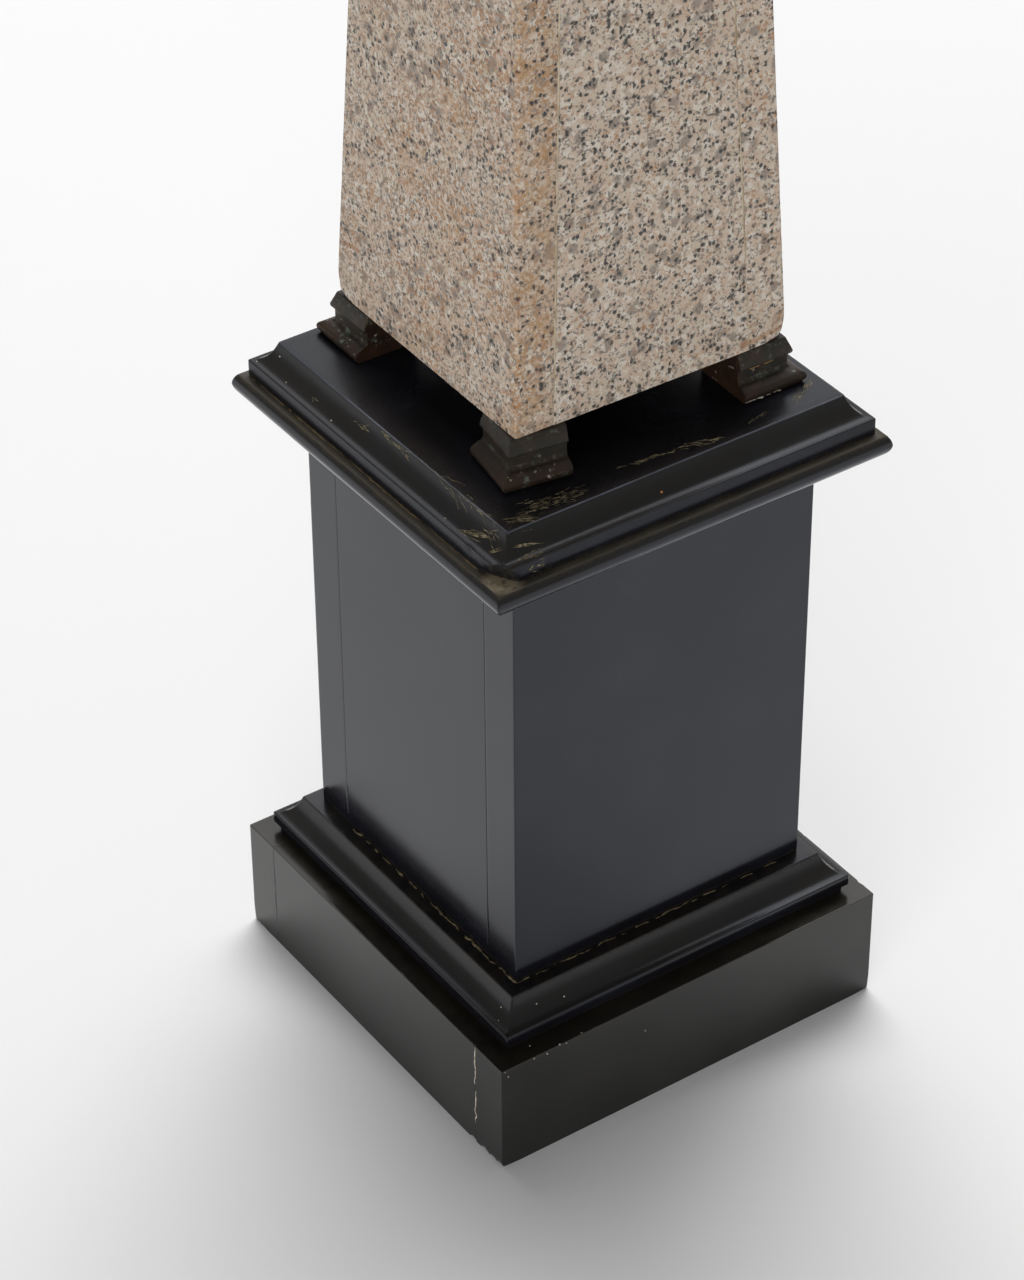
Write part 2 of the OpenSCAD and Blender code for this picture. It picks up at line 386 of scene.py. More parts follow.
def black_marble(name, dark, light, tint, dullness, dust, seed, mirror=0.5, haze=0.08):
    """Marble between two blacks, with dullness on slanted faces and dust on level ones.

    Its shine has a tint, a strength (mirror, 0.5 is a plain polish) and a blur (haze).
    """
    material, shader, place = new_material(name)
    up = place.node("ShaderNodeNewGeometry", out="Normal").part(2)
    body = clouds(place, 45, 5, seed).ramp(0.42, 0.72).mix(dark, light)
    shine = clouds(place, 60, 4, seed + 2) * 0.10 + clouds(place, 9, 3, seed + 4) * 0.05 + haze
    if dullness:
        rubbed = up.ramp(0.1, 0.3) * up.ramp(0.995, 0.97)
        body = (rubbed * 0.6).mix(body, OLIVE)
        shine = shine + rubbed * dullness
    patches = clouds(place, 30, 5, seed + 14, rough=0.6).ramp(0.45 - dust * 0.4, 0.75)
    film = up.ramp(0.6, 0.95) * patches * dust
    body = film.mix(body, DUST)
    dirty = None
    for height, reach, strength in DIRTY_JOINTS:
        share = (place.part(2) - height).math("ABSOLUTE").ramp(reach, 0.2) * strength
        dirty = share if dirty is None else dirty.math("MAXIMUM", share)
    dirty = dirty * (clouds(place, 8, 5, seed + 18, rough=0.6).ramp(0.3, 0.7) * 0.8 + 0.2)
    body = dirty.mix(body, DIRT)
    bed = up.ramp(0.8, 0.95) * (place.part(2) - CORNICE_JOINT).ramp(0.6, 0.2)
    bed = bed * place.vector("DISTANCE", LOST_CORNER, out=1).ramp(12.0, 5.0)
    body = (bed * clouds(place, 3, 4, seed + 20).ramp(0.2, 0.55)).mix(body, OLD_BED)
    bare = place.node("ShaderNodeAttribute", {"attribute_name": "bare"}, out="Fac")
    body = (bare * clouds(place, 2.5, 4, seed + 16).ramp(0.35, 0.7)).mix(body, BREAK)
    plug(shader, "Base Color", body)
    plug(shader, "Roughness", shine + bare * 0.4 + film * 0.6 + dirty * 0.4 + bed * 0.5)
    plug(shader, "IOR", 1.5)
    plug(shader, "Specular IOR Level", mirror)
    plug(shader, "Specular Tint", tint)
    height = clouds(place, 1.4, 3, seed) * (bare * 0.9 + dirty * 0.15 + 0.01)
    bump = height.node("ShaderNodeBump", None, {"Strength": 0.5, "Distance": 0.5 * MM, "Height": height})
    plug(shader, "Normal", bump)
    return material


# The base's warm body colour is painted reflection: a warm tint for what its faces mirror.
base_marble = black_marble("base marble", WARM_REFLECTION_BLACK, WARM_REFLECTION_CLOUD, NEUTRAL, 0.0, 0.03, 5.0)
die_marble = black_marble("die marble", BLACK, GREY_CLOUD, BLUISH, 0.0, 0.03, 2.0)
moulded_marble = black_marble("moulded marble", BLACK, GREY_CLOUD, BLUISH, 0.08, 0.03, 3.0, mirror=0.4)
plate_marble = black_marble("plate marble", BLACK, GREY_CLOUD, BLUISH, 0.0, 0.03, 3.0, mirror=0.3, haze=0.2)
# The top arris of the cornice gets a painted highlight: a pale bluish marble on its rounded faces.
arris_highlight_marble = black_marble("painted arris highlight", ARRIS_HIGHLIGHT, ARRIS_HIGHLIGHT_CLOUD, BLUISH, 0.0, 0.03, 6.0)
nosing_marble = black_marble("dusty marble", BLACK, GREY_CLOUD, BLUISH, 0.05, 0.8, 8.0)
marbles = (base_marble, die_marble, moulded_marble, plate_marble, arris_highlight_marble, nosing_marble)
print("marbles:", [look.name for look in marbles])

# %% [markdown]
# ## Old bronze
# The feet have a dark grey-brown patina, which has worn thin and reddish on the foot plates. Green
# verdigris sits where water stayed, and small pale specks of lime cling to the mouldings.

# %% Bronze material
PATINA = colour(41, 38, 33)
THIN_PATINA = colour(66, 46, 33)
SAWN_PATINA = colour(40, 29, 22)
SAWN_THIN = colour(64, 43, 31)
VERDIGRIS = colour(98, 110, 96)
FOOT_PLATE = CORNICE_TOP + 6
RIDGES = (CORNICE_TOP + 9, CORNICE_TOP + 23)
LIME = colour(158, 152, 136)


def old_bronze(name, dark, light, ridges, seed):
    """Bronze under a patina that wanders between two browns, with verdigris along the given ridges."""
    material, shader, place = new_material(name)
    thin = clouds(place, 9, 5, seed, rough=0.6).ramp(0.4, 0.7) * 0.5
    thin = thin + (place.part(2) - FOOT_PLATE).ramp(3.0, -1.0) * 0.22
    body = thin.mix(dark, light)
    where = clouds(place, 16, 2, seed + 4).ramp(0.45, 0.6)
    green = clouds(place, 5, 4, seed + 2, rough=0.6).ramp(0.56, 0.7) * where
    for height in ridges:
        crest = (place.part(2) - height).math("ABSOLUTE").ramp(1.5, 0.3)
        green = green.math("MAXIMUM", crest * clouds(place, 3, 4, seed + 14).ramp(0.5, 0.64) * 0.5)
    body = (green * 0.75).mix(body, VERDIGRIS)
    speck = clouds(place, 2.2, 3, seed + 6).ramp(0.64, 0.72) * clouds(place, 13, 2, seed + 8).ramp(0.48, 0.58)
    body = (speck * 0.8).mix(body, LIME)
    plug(shader, "Base Color", body)
    plug(shader, "Metallic", 0.3 - green * 0.3 - speck * 0.3)
    plug(shader, "Roughness", clouds(place, 7, 4, seed + 10) * 0.25 + green * 0.2 + 0.36)
    height = clouds(place, 2.5, 4, seed + 12) + green * 0.3
    bump = height.node("ShaderNodeBump", None, {"Strength": 0.45, "Distance": 0.5 * MM, "Height": height})
    plug(shader, "Normal", bump)
    return material


bronze = old_bronze("old bronze", PATINA, THIN_PATINA, RIDGES, 4.0)
sawn_bronze = old_bronze("sawn bronze", SAWN_PATINA, SAWN_THIN, (), 6.0)
print("bronzes:", bronze.name, "and", sawn_bronze.name)

# %% [markdown]
# ## Glue, filler and gold
# The small things on the stone are matt and uneven in colour. Two colours and the size of the clouds
# between them are enough for each, because none of them is wider than a millimetre or two.

# %% Glue, filler and gold


def flat_paint(name, dark, light, size):
    """A matt material that wanders between two colours: glue, dirt and lime specks."""
    material, shader, place = new_material(name)
    plug(shader, "Base Color", clouds(place, size, 3).ramp(0.35, 0.65).mix(dark, light))
    plug(shader, "Roughness", 0.7)
    return material


old_glue = flat_paint("old glue", colour(66, 58, 42), colour(108, 97, 72), 5)
white_filler = flat_paint("white filler", colour(150, 143, 128), colour(200, 193, 180), 4)
dark_filler = flat_paint("dark filler", colour(64, 64, 66), colour(98, 98, 101), 14)
brown_dirt = flat_paint("brown dirt", colour(62, 53, 40), colour(100, 85, 62), 9)
stone_glue = flat_paint("stone glue", colour(150, 132, 108), colour(184, 170, 148), 12)
gold_vein = flat_paint("gold vein", colour(80, 73, 52), colour(146, 135, 104), 3)
gilding = flat_paint("gilding", colour(112, 88, 52), colour(148, 118, 72), 3)
rust_paint = flat_paint("rust", colour(160, 104, 52), colour(190, 132, 74), 3)
print("materials:", len(bpy.data.materials))

# %% [markdown]
# ## A worn block
# Slabs, shaft and capstone all follow one rule: a block whose edges were rounded by wear. The tree below
# starts with a cube of many small squares, crowds its lines towards the edges, and pulls every point that
# lies closer to an edge than the wear radius onto a round. The radius varies along the edges with noise
# and grows at the outer bottom corners. Taper and lean then turn the block into a slab of the shaft. One
# tree with named inputs makes thirteen pieces.

# %% Inputs of a worn block
BLOCK_INPUTS = (
    ("Size", "NodeSocketVector"),
    ("Columns", "NodeSocketInt"),
    ("Rows", "NodeSocketInt"),
    ("Layers", "NodeSocketInt"),
    ("Arris", "NodeSocketFloat"),
    ("Wear", "NodeSocketFloat"),
    ("Corner wear", "NodeSocketFloat"),
    ("Corner reach", "NodeSocketFloat"),
    ("Outer side", "NodeSocketVector"),
    ("Top share", "NodeSocketVector"),
    ("Lean", "NodeSocketVector"),
    ("Offset", "NodeSocketVector"),
    ("Turn", "NodeSocketVector"),
    ("Place", "NodeSocketVector"),
    ("Seed", "NodeSocketFloat"),
    ("Material", "NodeSocketMaterial"),
)
print("a worn block has", len(BLOCK_INPUTS), "inputs")

# %% Starting and ending a tree


def new_tree(name, inputs):
    """A Geometry Nodes tree with named inputs; returns it and a function that gives an input's wire."""
    tree = bpy.data.node_groups.new(name, "GeometryNodeTree")
    for label, kind in inputs:
        tree.interface.new_socket(label, in_out="INPUT", socket_type=kind)
    tree.interface.new_socket("Geometry", in_out="OUTPUT", socket_type="NodeSocketGeometry")
    entry = tree.nodes.new("NodeGroupInput")
    return tree, lambda label: Wire(tree, entry.outputs[label])


def end_tree(geometry, material):
    """Realize instances, set the material and lead the result to the output."""
    plain = geometry.node("GeometryNodeRealizeInstances", None, {"Geometry": geometry})
    dressed = plain.node("GeometryNodeSetMaterial", None, {"Geometry": plain, "Material": material})
    exit_node = geometry.tree.nodes.new("NodeGroupOutput")
    geometry.tree.links.new(dressed.socket, exit_node.inputs["Geometry"])


print("tree helpers ready")

# %% Tree for worn blocks


def block_tree():
    """The tree that turns a cube of small squares into a worn block."""
    tree, given = new_tree("worn block", BLOCK_INPUTS)
    start = Wire(tree)
    counts = {"Vertices X": given("Columns"), "Vertices Y": given("Rows"), "Vertices Z": given("Layers")}
    cube = start.node("GeometryNodeMeshCube", None, {"Size": (2, 2, 2), **counts})
    place = start.node("GeometryNodeInputPosition")
    squared = place.vector("MULTIPLY", place)
    crowded = place.vector("MULTIPLY", squared.vector("MULTIPLY_ADD", (-0.5, -0.5, -0.5), (1.5, 1.5, 1.5)))
    half = given("Size").scaled(0.5)
    spot = crowded.vector("MULTIPLY", half)
    sockets = {"Vector": spot, "W": given("Seed"), "Scale": 160.0, "Detail": 3.0}
    patchy = start.node("ShaderNodeTexNoise", {"noise_dimensions": "4D"}, sockets).ramp(0.5, 0.8)
    outer = given("Outer side")
    inner_share = outer.vector("ABSOLUTE").vector("MULTIPLY_ADD", (-1, -1, -1), (1, 1, 1))
    ends = spot.vector("ABSOLUTE").vector("MULTIPLY", inner_share)
    from_corner = half.vector("SUBTRACT", spot.vector("MULTIPLY_ADD", outer, ends))
    close = from_corner.vector("LENGTH", out=1) / given("Corner reach")
    corner = (0 - close * close).math("EXPONENT") * given("Corner wear")
    radius = given("Arris") + patchy * given("Wear") + corner
    trio = start.node("ShaderNodeCombineXYZ", None, {0: radius, 1: radius, 2: radius})
    core = half.vector("SUBTRACT", trio)
    held = spot.vector("MINIMUM", core).vector("MAXIMUM", core.scaled(-1.0))
    rounded = spot.vector("SUBTRACT", held).vector("NORMALIZE").vector("MULTIPLY_ADD", trio, held)
    rise = (rounded.part(2) / half.part(2) + 1.0) * 0.5
    shrink = given("Top share").vector("SUBTRACT", (1, 1, 1)).scaled(rise).vector("ADD", (1, 1, 1))
    tapered = rounded.vector("MULTIPLY", shrink).vector("ADD", given("Lean").scaled(rise))
    put = tapered.vector("ADD", given("Offset"))
    shaped = cube.node("GeometryNodeSetPosition", None, {"Geometry": cube, "Position": put})
    turned = {"Geometry": shaped, "Translation": given("Place"), "Rotation": given("Turn")}
    moved = cube.node("GeometryNodeTransform", None, turned)
    smooth = cube.node("GeometryNodeSetShadeSmooth", None, {"Geometry": moved})
    end_tree(smooth, given("Material"))
    return tree


worn_block = block_tree()
print("worn block tree:", len(worn_block.nodes), "nodes")

# %% [markdown]
# ## Growing a piece
# A tree works through a modifier on an object. Its result is kept as a plain mesh and the modifier is
# removed, so that later steps can chip single points. A finished piece then stands for its CAD node.

# %% Growing a piece


def grow(tree, name, values, start=None):
    """Run a tree on a start mesh, or on none, and keep the result as a plain mesh object."""
    piece = bpy.data.objects.new(name, start or bpy.data.meshes.new(name))
    scene.collection.objects.link(piece)
    modifier = piece.modifiers.new("shape", "NODES")
    modifier.node_group = tree
    for item in tree.interface.items_tree:
        if item.in_out == "INPUT" and item.name in values:
            modifier[item.identifier] = values[item.name]
    ready = piece.evaluated_get(bpy.context.evaluated_depsgraph_get())
    mesh = bpy.data.meshes.new_from_object(ready)
    piece.modifiers.clear()
    piece.data = mesh
    mesh.name = name
    return piece


def hand_over(piece, node):
    """Let a finished piece stand for its CAD node."""
    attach(piece, "root")
    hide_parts(node)


print("pieces are grown from", worn_block.name)

# %% [markdown]
# ## Chips
# Stone breaks in shallow shell-shaped scoops. A ball that overlaps an edge pushes the points inside it
# onto its own surface, which leaves just such a scoop. A little noise keeps the ball from looking turned.
# Points that moved get the value 1 in the attribute bare, which the marble shows as a rough, paler break.

# %% Chip helper


def points_of(piece):
    """The piece's points as an array of rows."""
    flat = np.empty(len(piece.data.vertices) * 3)
    piece.data.vertices.foreach_get("co", flat)
    return flat.reshape(-1, 3)


def roughness_at(points, size, seed):
    """Smooth noise from -1 to 1 at each point, with blobs of the given size."""
    return np.array([noise.noise(Vector(p) / size + Vector((seed, 0, 0))) for p in points])


def keep_points(piece, points, bare):
    """Write moved points back, with the mark of what is freshly broken."""
    piece.data.vertices.foreach_set("co", points.ravel())
    mark = piece.data.attributes.get("bare") or piece.data.attributes.new("bare", "FLOAT", "POINT")
    old = np.empty(len(points))
    mark.data.foreach_get("value", old)
    mark.data.foreach_set("value", np.maximum(old, bare))
    piece.data.update()


def chip(piece, scoops, mark=1.0):
    """Scoop balls given as (x, y, z, radius) in mm out of a piece."""
    points = points_of(piece)
    bare = np.zeros(len(points))
    for number, (x, y, z, radius) in enumerate(scoops):
        away = points - np.array((x, y, z)) * MM
        gap = np.linalg.norm(away, axis=1)
        inside = gap < radius * MM
        if not inside.any():
            continue
        size = radius * MM * (1 + 0.12 * roughness_at(points[inside], 2.5 * MM, number))
        points[inside] += away[inside] * ((size / np.maximum(gap[inside], 1e-6)) - 1)[:, None]
        bare[inside] = mark
    keep_points(piece, points, bare)
    return int((bare > 0).sum())


print("chip helper ready")

# %% [markdown]
# ## Base and die
# The base and the die are boxes of four slabs. The front and back slabs run the full width, the left and
# right ones fit between them, so the joints show near the ends of the left and right faces. The lower
# corners of the base are knocked round from being set down, and the lower edge near the front corner has
# lost several chips.

# %% Base and die slabs
BOX_SIDES = {"front": (0, -1, 0), "back": (0, 1, 0), "left": (-1, 0, 0), "right": (1, 0, 0)}
BASE_CHIPS = {
    "front": (
        (-121.8, -121.4, -2, 4.2),
        (-122.0, -117, -2, 4.8),
        (-122.4, -111, -2.4, 5.2),
        (-122.4, -103.5, -2.8, 5.4),
        (121.4, -121, -1, 2.6),
        (121.6, -108, BASE_TOP + 1, 2.6),
        (-121.3, -121.3, BASE_TOP - 5, 2.0),
        (-84, -121.6, BASE_TOP + 0.4, 2.0),
        (-70, -121.2, BASE_TOP + 0.6, 1.8),
    ),
    "left": (
        (-122.2, -93.5, -2.6, 4.8),
        (-121.4, -95.6, BASE_TOP + 0.6, 2.2),
        (-121.4, 40, BASE_TOP + 0.5, 1.8),
        (-121.2, -30, BASE_TOP + 0.4, 1.6),
    ),
    "back": ((-122.2, 121.6, -1.6, 3.6), (-121.8, 110, -2.2, 3.2)),
    "right": ((121.6, -60, BASE_TOP + 0.8, 2.2),),
}


def box_slab(part, side, marble, counts, arris, wear, corner):
    """One slab of a box of slabs, from the box of its CAD node."""
    node = f"{part}_{side}_slab"
    low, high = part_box(node)
    full = side in ("front", "back")
    inputs = {
        "Size": high - low,
        "Columns": counts[0] if full else counts[1],
        "Rows": counts[1] if full else counts[0],
        "Layers": counts[2],
        "Arris": arris * MM,
        "Wear": wear * MM,
        "Corner wear": corner * MM if full else 0.0,
        "Corner reach": 7 * MM,
        "Outer side": Vector(BOX_SIDES[side]) - Vector((0, 0, 1)),
        "Top share": (1, 1, 1),
        "Offset": (low + high) / 2,
        "Seed": float(len(node)) + low.x * 10,
        "Material": marble,
    }
    return node, grow(worn_block, f"worn_{node}", inputs)


for side in BOX_SIDES:
    node, piece = box_slab("base", side, base_marble, (161, 17, 45), 0.25, 0.2, 1.0)
    chipped = chip(piece, BASE_CHIPS[side], 0.6)
    hand_over(piece, node)
    print(node, len(piece.data.polygons), "faces,", chipped, "points chipped")
for side in BOX_SIDES:
    node, piece = box_slab("die", side, die_marble, (65, 13, 101), 0.2, 0.15, 0.3)
    hand_over(piece, node)
    print(node, len(piece.data.polygons), "faces")

# %% [markdown]
# ## Moulded slabs
# A mason runs one outline round the four sides of a slab, so that the mouldings meet in a mitre at each
# corner. The outline is a list of points, in from the edge and up. The hollow in it is one Bezier curve,
# level at its foot and steep at its top, and the sharp arrises are replaced by small curves. Every point
# of the outline becomes a square ring, and the rings are joined into a skin; extra rings near the rims
# keep the shading of the flat faces flat.

# %% Outlines


def arc(centre, radius, start, end, steps):
    """Points of an arc between two angles in degrees."""
    angles = np.radians(np.linspace(start, end, steps + 1))
    return [(centre[0] + radius * math.cos(a), centre[1] + radius * math.sin(a)) for a in angles]


def soften(outline, radius, steps=4):
    """Replace each sharp corner of an outline by a curve that starts the given distance before it."""
    result = [outline[0]]
    for before, corner, after in zip(outline, outline[1:], outline[2:]):
        before, corner, after = (np.array(p, float) for p in (before, corner, after))
        to_before, to_after = before - corner, after - corner
        long_before, long_after = np.linalg.norm(to_before), np.linalg.norm(to_after)
        straight = -np.dot(to_before, to_after) / (long_before * long_after)
        if straight > 0.9:
            result.append(tuple(corner))
            continue
        start = corner + to_before / long_before * min(radius, long_before * 0.45)
        end = corner + to_after / long_after * min(radius, long_after * 0.45)
        for t in np.linspace(0, 1, steps + 1):
            result.append(tuple((1 - t) ** 2 * start + 2 * t * (1 - t) * corner + t * t * end))
    return [*result, outline[-1]]


print("a softened square corner has", len(soften([(0, 0), (1, 0), (1, 1)], 0.2)) - 2, "points")

# %% Rings and skin


def crowd(count):
    """Positions from -1 up to, but not including, 1 that crowd towards both ends."""
    u = np.linspace(-1, 1, count, endpoint=False)
    return u * (1.5 - 0.5 * u * u)


def square_ring(low, high, count, radius):
    """Points round a square from its low to its high corner, with rounded corners."""
    middle, half = (low + high) / 2, (high - low) / 2
    t = crowd(count)
    one = np.ones(count)
    ring = np.concatenate([
        np.stack([t, -one], 1), np.stack([one, t], 1), np.stack([-t, one], 1), np.stack([-one, -t], 1)
    ]) * half
    radius = min(radius, half * 0.9)
    held = np.clip(ring, radius - half, half - radius)
    away = ring - held
    return middle + held + away / np.linalg.norm(away, axis=1)[:, None] * radius


def skin(name, rings, material):
    """Join rings of points, from the bottom up, into a closed mesh object."""
    count = len(rings[0])
    points = np.concatenate(rings)
    faces = [tuple(range(count - 1, -1, -1))]
    for step in range(len(rings) - 1):
        first = step * count
        for i in range(count):
            j = (i + 1) % count
            faces.append((first + i, first + j, first + count + j, first + count + i))
    faces.append(tuple(range(len(points) - count, len(points))))
    mesh = bpy.data.meshes.new(name)
    mesh.from_pydata([tuple(p) for p in points], [], faces)
    mesh.materials.append(material)
    mesh.polygons.foreach_set("use_smooth", [True] * len(faces))
    mesh.update()
    piece = bpy.data.objects.new(name, mesh)
    scene.collection.objects.link(piece)
    return piece


print("a ring of 4 x 10 points:", square_ring(-1.0, 1.0, 10, 0.1).shape)

# %% Lower moulding and nosing
RIM_STEPS = (0.5, 2.5, 9.0)


def moulded_slab(node, outline, material, mitre=0.7, count=84):
    """A square slab with the outline, in mm in from its edge and up, run round it."""
    low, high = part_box(node)
    first, last = outline[0], outline[-1]
    inner = [(first[0] + step, first[1]) for step in reversed(RIM_STEPS)]
    outer = [(last[0] + step, last[1]) for step in RIM_STEPS]
    rings = []
    for inward, height in (*inner, *outline, *outer):
        flat = square_ring(low.x + inward * MM, high.x - inward * MM, count, mitre * MM)
        rings.append(np.column_stack([flat, np.full(len(flat), low.z + height * MM)]))
    return skin(f"worn_{node}", rings, material)


HOLLOW_BEND_IN, HOLLOW_BEND_UP, HOLLOW_PULL = 0.65, 0.1, 0.82


def hollow_outline(run, tall, fillet, bed=(), softness=0.6):
    """An upright fillet, on a bed where one is given, and a hollow above it up to the top arris."""
    foot, arris = Vector((0, fillet)), Vector((run, tall))
    bend = foot.lerp(Vector((run, fillet)), HOLLOW_BEND_IN) + Vector((0, (tall - fillet) * HOLLOW_BEND_UP))
    handles = foot, foot.lerp(bend, HOLLOW_PULL), arris.lerp(bend, HOLLOW_PULL), arris
    hollow = [tuple(point) for point in interpolate_bezier(*handles, 16)]
    below = [(bed[0] + 4, 0), (bed[0], 0), (bed[0], bed[1]), (0, bed[1])] if bed else [(4, 0), (0, 0)]
    return soften([*below, *hollow, (run + 4, tall)], softness)


MOULDING_BED = (2.5, 4.5)
moulding_outline = hollow_outline(run=12, tall=24, fillet=11, bed=MOULDING_BED)
moulding = moulded_slab("base_moulding", moulding_outline, moulded_marble)
hand_over(moulding, "base_moulding")
# The nose is a round below, a flatter arc above it and a small round under the top.
nose_top = [*arc((8.97, 6.52), 9, 175, 140, 7)[1:], *arc((3.54, 11.1), 1.9, 140, 90, 7)[1:]]
nosing_outline = [(12, 0), *arc((7.97, 8), 8, 270, 185, 14), *nose_top, (9, 13)]
nosing = moulded_slab("cornice_nosing", nosing_outline, nosing_marble, 0.8)
hand_over(nosing, "cornice_nosing")
print("mouldings:", len(moulding.data.polygons), "and", len(nosing.data.polygons), "faces")

# %% [markdown]
# ## The broken cornice corner
# The upper cornice slab has lost its front left corner. The break is a nearly flat face that leans in
# towards its foot, so it stays in shadow. Every point beyond that plane is pushed back level onto it,
# with some noise, because marble breaks along a vein in small steps. Smaller chips follow the upper arris
# on the left, where the veins weaken the edge.

# %% Cornice slab
BREAK_POINT = Vector((-106, -102, CORNICE_JOINT)) * MM
BREAK_FACING = math.atan2(10, 18)
BREAK_LEAN = math.radians(-24)
CORNICE_CHIPS = (
    (-100.9, -62, CORNICE_TOP + 1.7, 2.6),
    (-100.8, -57, CORNICE_TOP + 1.5, 2.3),
    (-101.0, -70, CORNICE_TOP + 1.8, 2.8),
    (-100.6, -46, CORNICE_TOP + 1.4, 1.9),
    (-100.8, -80, CORNICE_TOP + 1.5, 2.2),
    (-100.7, -24, CORNICE_TOP + 1.5, 2.0),
    (-100.6, -9, CORNICE_TOP + 1.4, 1.9),
    (-99.5, -100.5, CORNICE_TOP + 1.9, 3.0),
    (-88, -101.0, CORNICE_TOP + 1.7, 2.2),
    (-112.0, -84, CORNICE_JOINT + 9.6, 2.2),
    (-84, -112.3, CORNICE_JOINT - 0.4, 2.4),
)


def break_corner(piece):
    """Push every point beyond the break level back onto it; returns how many moved."""
    level_out = np.array((-math.cos(BREAK_FACING), -math.sin(BREAK_FACING), 0.0))
    outward = level_out * math.cos(BREAK_LEAN) + np.array((0.0, 0.0, math.sin(BREAK_LEAN)))
    points = points_of(piece)
    beyond = (points - np.array(BREAK_POINT)) @ outward
    hit = beyond > -0.3 * MM
    rough = roughness_at(points[hit], 4 * MM, 3.0) * 0.5 * MM
    rough += roughness_at(points[hit], 1.3 * MM, 9.0) * 0.2 * MM
    target = np.minimum(beyond[hit], rough - 0.2 * MM)
    points[hit] += ((target - beyond[hit]) / math.cos(BREAK_LEAN))[:, None] * level_out
    bare = np.zeros(len(points))
    bare[hit] = 0.4
    keep_points(piece, points, bare)
    return int(hit.sum())


LEVEL_FACE, UPRIGHT_FACE = 0.98, 0.02
ARRIS_DEEP = 0.45
cornice_outline = hollow_outline(run=11.5, tall=21.5, fillet=9.2)
cornice = moulded_slab("cornice_moulding", cornice_outline, moulded_marble)
# Level and upright faces take the plate marble; the rounded faces of the top arris take the painted
# highlight.
for look in (plate_marble, arris_highlight_marble):
    cornice.data.materials.append(look)
for face in cornice.data.polygons:
    if face.normal.z > LEVEL_FACE or abs(face.normal.z) < UPRIGHT_FACE:
        face.material_index = 1
    elif face.center.z > (CORNICE_TOP - ARRIS_DEEP) * MM:
        face.material_index = 2
print("points on the break:", break_corner(cornice))
print("points on chips:", chip(cornice, CORNICE_CHIPS, 0.5))
hand_over(cornice, "cornice_moulding")

# %% [markdown]
# ## The feet
# Each bronze foot is a small column base, moulded on its two outer sides and sawn flat on the inner two.
# The rings of its outline are squares that share the inner corner, so the sawn sides stay flat by
# themselves. The casting is slightly uneven, which a little noise on the points shows.

# %% Feet
FOOT_WIDE = 37
FOOT_REACH = 87
FOOT_SIDES = {"front_left": (-1, -1), "front_right": (1, -1), "back_left": (-1, 1), "back_right": (1, 1)}
CROOKED_TURN = {"front_left": math.radians(-8)}
FOOT_OUTLINE = soften(
    [
        (6, 0),
        (1.4, 0),
        *arc((3, 3.2), 3, 238, 119, 10),
        *arc((4.6, 9.9), 2.4, 270, 360, 8),
        (7, 15.5),
        (6, 15.5),
        (5.3, 16.2),
        (5.3, 17.4),
        (8, 24.5),
        (12, 24.5),
    ],
    0.45,
)


def turned(angle):
    """Matrix of a turn about the upright axis, for rows of points."""
    return np.array(Matrix.Rotation(angle, 3, "Z")).T


def foot(corner):
    """A foot at one corner of the shaft."""
    node = f"{corner}_foot"
    low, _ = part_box(node)
    side_x, side_y = FOOT_SIDES[corner]
    rings = []
    for inward, height in FOOT_OUTLINE:
        flat = square_ring(inward, FOOT_WIDE, 22, 0.5) - FOOT_WIDE / 2
        ring = np.column_stack([-side_x * flat[:, 0], -side_y * flat[:, 1], np.full(len(flat), height)])
        ring = ring @ turned(CROOKED_TURN.get(corner, 0.0))
        ring[:, :2] += np.array((side_x, side_y)) * (FOOT_REACH - FOOT_WIDE / 2)
        ring = ring @ turned(SHAFT_TURN) * MM + np.array((SHAFT_AT.x, SHAFT_AT.y, low.z))
        rings.append(ring if side_x * side_y > 0 else ring[::-1])
    piece = skin(f"worn_{node}", rings, bronze)
    points = points_of(piece)
    points[:, :2] += (roughness_at(points, 9 * MM, side_x + 3 * side_y) * 0.25 * MM)[:, None]
    piece.data.vertices.foreach_set("co", points.ravel())
    piece.data.update()
    piece.data.materials.append(sawn_bronze)
    for face in piece.data.polygons:
        face.material_index = int(min(face.normal.x * side_x, face.normal.y * side_y) < -0.9)
    hand_over(piece, node)
    return piece


for corner in FOOT_SIDES:
    print(corner, len(foot(corner).data.polygons), "faces")

# %% [markdown]
# ## Shaft
# The four shaft slabs lean inwards. The left and right slabs run the full width and narrow towards the
# top; the front and back slabs fit between them. All come from the worn block tree, with its taper and
# lean. Two of their lower corners are well rounded, because granite is set down on its corners when it is
# moved.

# %% Shaft slabs
SLAB = 22 * MM
TOP_IN = SHAFT_HALF - SHAFT_TOP_HALF
KNOCKED_CORNERS = {"left": Vector((-1, 1, -1)), "right": Vector((1, -1, -1))}
SHAFT_LOOKS = {"left": granite_left, "right": granite_side, "front": granite_front, "back": granite_side}


